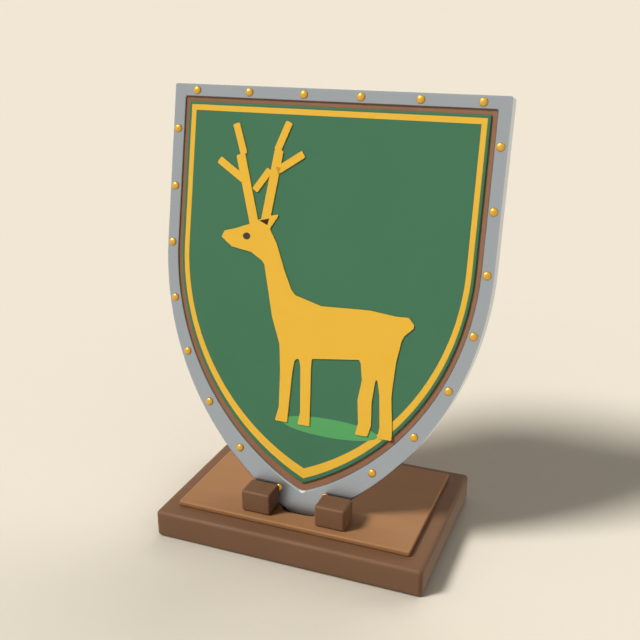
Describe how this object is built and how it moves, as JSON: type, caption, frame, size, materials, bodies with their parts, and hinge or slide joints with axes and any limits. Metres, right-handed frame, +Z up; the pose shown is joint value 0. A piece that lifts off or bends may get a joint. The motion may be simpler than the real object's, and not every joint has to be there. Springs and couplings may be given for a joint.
{
  "type": "heater shield on a display plinth",
  "caption": "Heater shield with a steel rim, brass rivets and a gold stag on a green field, leaning upright in a slotted wooden display plinth.",
  "frame": {"origin": "middle of the plinth's underside", "axes": "+Z up, -Y the way the shield faces, +X to the right seen from the front"},
  "size_m": [0.6, 0.339, 0.7834],
  "materials": {
    "dark_wood": "dark stained wood, matt, with eased edges",
    "light_wood": "lighter tan stained wood, matt",
    "board_wood": "plain brown stained boards, matt",
    "green_paint": "wooden panel painted green with a gold border line, matt",
    "gilt": "golden yellow paint on thin sheet metal, matt",
    "steel": "satin grey steel",
    "brass": "polished brass"
  },
  "bodies": {
    "root": {"base_slab": "dark_wood", "top_panel": "light_wood", "front_block_left": "dark_wood", "front_block_right": "dark_wood", "shield_board": "board_wood", "painted_field": "green_paint", "stag_figure": "gilt", "steel_rim": "steel", "rivet_01": "brass", "rivet_02": "brass", "rivet_03": "brass", "rivet_04": "brass", "rivet_05": "brass", "rivet_06": "brass", "rivet_07": "brass", "rivet_08": "brass", "rivet_09": "brass", "rivet_10": "brass", "rivet_11": "brass", "rivet_12": "brass", "rivet_13": "brass", "rivet_14": "brass", "rivet_15": "brass", "rivet_16": "brass", "rivet_17": "brass", "rivet_18": "brass", "rivet_19": "brass", "rivet_20": "brass", "rivet_21": "brass", "rivet_22": "brass"}
  },
  "joints": []
}
